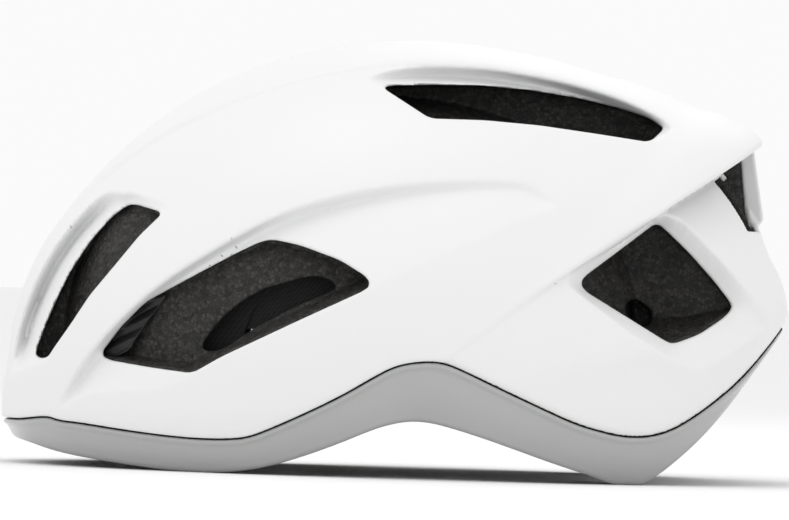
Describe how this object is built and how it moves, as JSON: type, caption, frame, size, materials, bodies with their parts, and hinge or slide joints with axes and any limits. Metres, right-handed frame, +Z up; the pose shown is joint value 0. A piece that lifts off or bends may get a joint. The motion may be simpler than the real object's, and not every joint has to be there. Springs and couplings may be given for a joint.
{
  "type": "cycling helmet",
  "caption": "Vented road cycling helmet: white upper shell over a foam liner, grey lower shell, pads, harness with buckle, and a rear cradle tightened by a dial.",
  "frame": {"origin": "centre of the bounding box at the level of the rim's lowest lobes, on which the helmet rests", "axes": "+X towards the rear, -X is the front; +Y towards the wearer's right side; +Z up"},
  "size_m": [0.2809, 0.206, 0.1562],
  "materials": {
    "white_shell": "matte white in-moulded shell",
    "grey_shell": "satin light grey lower shell",
    "eps_foam": "black expanded polystyrene beads, dull",
    "grip_rubber": "ribbed matte black rubber",
    "black_plastic": "satin black moulded nylon",
    "dial_plastic": "matte black grip dial",
    "pad_fabric": "black knitted wicking fabric over foam",
    "webbing": "black woven polyester webbing",
    "screw_steel": "small steel screw"
  },
  "bodies": {
    "helmet": {"upper_shell": "white_shell", "lower_shell": "grey_shell", "eps_liner": "eps_foam", "eyewear_grip_left": "grip_rubber", "eyewear_grip_right": "grip_rubber", "headband_front": "black_plastic", "brow_pad": "pad_fabric", "crown_pad_center": "pad_fabric", "headband_anchor_left": "black_plastic", "crown_pad_left": "pad_fabric", "side_pad_left": "pad_fabric", "temple_pivot_left": "black_plastic", "strap_anchor_front_left": "black_plastic", "strap_anchor_rear_left": "black_plastic", "front_strap_left": "webbing", "rear_strap_left": "webbing", "strap_divider_left": "black_plastic", "chin_strap_left": "webbing", "headband_anchor_right": "black_plastic", "crown_pad_right": "pad_fabric", "side_pad_right": "pad_fabric", "temple_pivot_right": "black_plastic", "strap_anchor_front_right": "black_plastic", "strap_anchor_rear_right": "black_plastic", "front_strap_right": "webbing", "rear_strap_right": "webbing", "strap_divider_right": "black_plastic", "chin_strap_right": "webbing", "buckle_socket": "black_plastic", "height_anchor": "black_plastic"},
    "cradle": {"cradle_housing": "black_plastic", "cradle_cover": "black_plastic", "cradle_yoke": "black_plastic", "height_strap": "black_plastic", "cradle_pad_left": "pad_fabric", "cradle_pad_right": "pad_fabric", "side_band_left": "black_plastic", "side_band_right": "black_plastic"},
    "dial": {"dial_pinion": "black_plastic", "dial_knob": "dial_plastic", "dial_screw": "screw_steel"},
    "belt_left": {"belt_left": "black_plastic"},
    "belt_right": {"belt_right": "black_plastic"},
    "lever_left": {"divider_lever_left": "black_plastic"},
    "lever_right": {"divider_lever_right": "black_plastic"},
    "plug": {"buckle_plug": "black_plastic"}
  },
  "joints": [
    {"name": "cradle_tilt", "type": "hinge", "parent": "helmet", "child": "cradle", "pos_m": [-0.005, 0, 0.033], "axis": [0, 1, 0], "range_deg": [-5, 5]},
    {"name": "dial_turn", "type": "hinge", "parent": "cradle", "child": "dial", "pos_m": [0.0824, 0, 0.022], "axis": [-1, 0, 0], "range_deg": [0, 180]},
    {"name": "belt_left_slide", "type": "slide", "parent": "cradle", "child": "belt_left", "axis": [0, 1, 0], "range_m": [0, 0.01256]},
    {"name": "belt_right_slide", "type": "slide", "parent": "cradle", "child": "belt_right", "axis": [0, -1, 0], "range_m": [0, 0.0126]},
    {"name": "lever_left_hinge", "type": "hinge", "parent": "helmet", "child": "lever_left", "pos_m": [-0.02512, -0.05854, 0.09695], "axis": [0.9929, -0.1032, -0.0589], "range_deg": [0, 75]},
    {"name": "lever_right_hinge", "type": "hinge", "parent": "helmet", "child": "lever_right", "pos_m": [-0.02512, 0.05854, 0.09695], "axis": [-0.9929, -0.1032, 0.0589], "range_deg": [0, 75]},
    {"name": "buckle_release", "type": "slide", "parent": "helmet", "child": "plug", "axis": [0, -1, 0], "range_m": [0, 0.015]}
  ],
  "couplings": [
    {"joint": "dial_turn", "follows": "belt_left_slide", "rad_per_m": 250},
    {"joint": "belt_right_slide", "follows": "belt_left_slide", "ratio": 1}
  ]
}
